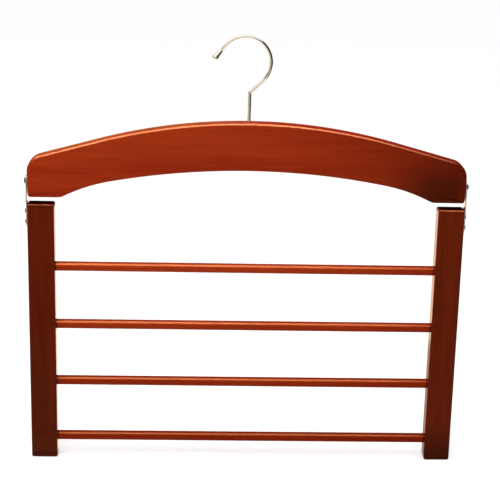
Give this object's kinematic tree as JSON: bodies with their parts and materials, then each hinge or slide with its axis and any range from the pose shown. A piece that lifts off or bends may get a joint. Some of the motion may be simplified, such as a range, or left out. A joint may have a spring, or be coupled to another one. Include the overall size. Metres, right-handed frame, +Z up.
{
  "type": "trouser hanger",
  "caption": "Wooden trouser hanger: a curved lacquered arch on a swivelling wire hook, with a ladder of round bars that swings on metal straps.",
  "frame": {"origin": "the point inside the hook's loop, straight over the swivel axis, where a rail carries the hanger", "axes": "+Z up along the hook's shank, +X along the arch towards the closed side of the hook's loop, +Y through the thickness"},
  "size_m": [0.4512, 0.017, 0.4501],
  "materials": {
    "arch_lacquer": "glossy cherry lacquer, grain along the arch",
    "leg_lacquer": "glossy dark cherry lacquer, grain along the leg",
    "bar_lacquer": "glossy cherry lacquer, grain along the bar",
    "chrome": "bright plated wire",
    "zinc_steel": "plated sheet steel",
    "screw_steel": "plated steel"
  },
  "bodies": {
    "hook": {"hook": "chrome"},
    "arch": {"arch": "arch_lacquer", "hook_washer": "zinc_steel", "left_pivot_screw": "screw_steel", "right_pivot_screw": "screw_steel"},
    "ladder": {"left_leg": "leg_lacquer", "right_leg": "leg_lacquer", "bar_1": "bar_lacquer", "bar_2": "bar_lacquer", "bar_3": "bar_lacquer", "bar_4": "bar_lacquer", "left_strap": "zinc_steel", "right_strap": "zinc_steel", "left_leg_screws": "screw_steel", "right_leg_screws": "screw_steel"}
  },
  "joints": [
    {"name": "hook_swivel", "type": "hinge", "parent": "hook", "child": "arch", "pos_m": [0, 0, 0], "axis": [0, 0, 1], "continuous": true},
    {"name": "ladder_swing", "type": "hinge", "parent": "arch", "child": "ladder", "pos_m": [0, 0, -0.14682], "axis": [1, 0, 0], "range_deg": [-135, 135]}
  ]
}
